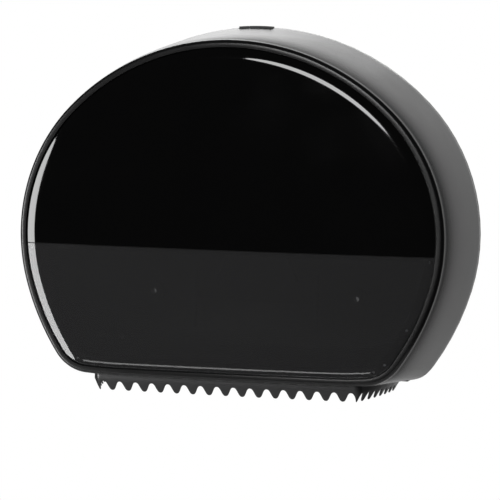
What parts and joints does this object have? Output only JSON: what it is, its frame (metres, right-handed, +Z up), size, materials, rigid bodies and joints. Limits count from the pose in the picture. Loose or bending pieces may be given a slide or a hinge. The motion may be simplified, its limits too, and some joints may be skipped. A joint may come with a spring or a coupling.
{
  "type": "jumbo toilet roll dispenser",
  "caption": "Wall-mounted dispenser for a jumbo toilet roll: a black hinged cover with a glossy face and smoked window over a braked roll hub, key lock, outlet chute and toothed tear bar.",
  "frame": {"origin": "on the wall plane, in the middle of the four wall screws", "axes": "+X to the right as seen from the front, -Y out of the wall towards the user, +Z up"},
  "size_m": [0.436, 0.133, 0.3477],
  "materials": {
    "cover_plastic": "satin",
    "face_plastic": "high gloss",
    "window_plastic": "smoked, see-through, high gloss",
    "base_plastic": "fine satin",
    "bar_plastic": "satin",
    "hub_plastic": "satin",
    "screw_steel": "zinc plated",
    "spring_steel": "rolled",
    "lock_metal": "nickel plated"
  },
  "bodies": {
    "base": {"back_plate": "base_plastic", "spindle_post": "base_plastic", "post_screws": "screw_steel", "hub_cap": "base_plastic", "hub_screw": "screw_steel", "brake_spring": "spring_steel", "brake_screw": "screw_steel", "stub_peg": "base_plastic", "stub_screw": "screw_steel", "outlet_chute": "base_plastic", "chute_screws": "screw_steel", "tear_bar": "bar_plastic", "tear_bar_screws": "screw_steel", "hinge_pins": "spring_steel", "lock_housing": "base_plastic", "lock_screws": "screw_steel"},
    "cover": {"cover_skirt": "cover_plastic", "upper_panel": "face_plastic", "front_window": "window_plastic", "face_screws": "screw_steel", "latch_keeper": "spring_steel", "keeper_screws": "screw_steel"},
    "hub": {"roll_hub": "hub_plastic"},
    "lock_cam": {"lock_barrel": "lock_metal", "cam_tongue": "spring_steel", "cam_screw": "screw_steel"}
  },
  "joints": [
    {"name": "cover_hinge", "type": "hinge", "parent": "base", "child": "cover", "pos_m": [0, -0.02, -0.113], "axis": [1, 0, 0], "range_deg": [0, 90]},
    {"name": "hub_spin", "type": "hinge", "parent": "base", "child": "hub", "pos_m": [0, -0.0641, 0.062], "axis": [0, -1, 0], "continuous": true},
    {"name": "lock_turn", "type": "hinge", "parent": "base", "child": "lock_cam", "pos_m": [-0.0105, -0.0091, 0.2], "axis": [0, 0, 1], "range_deg": [0, 90]}
  ]
}
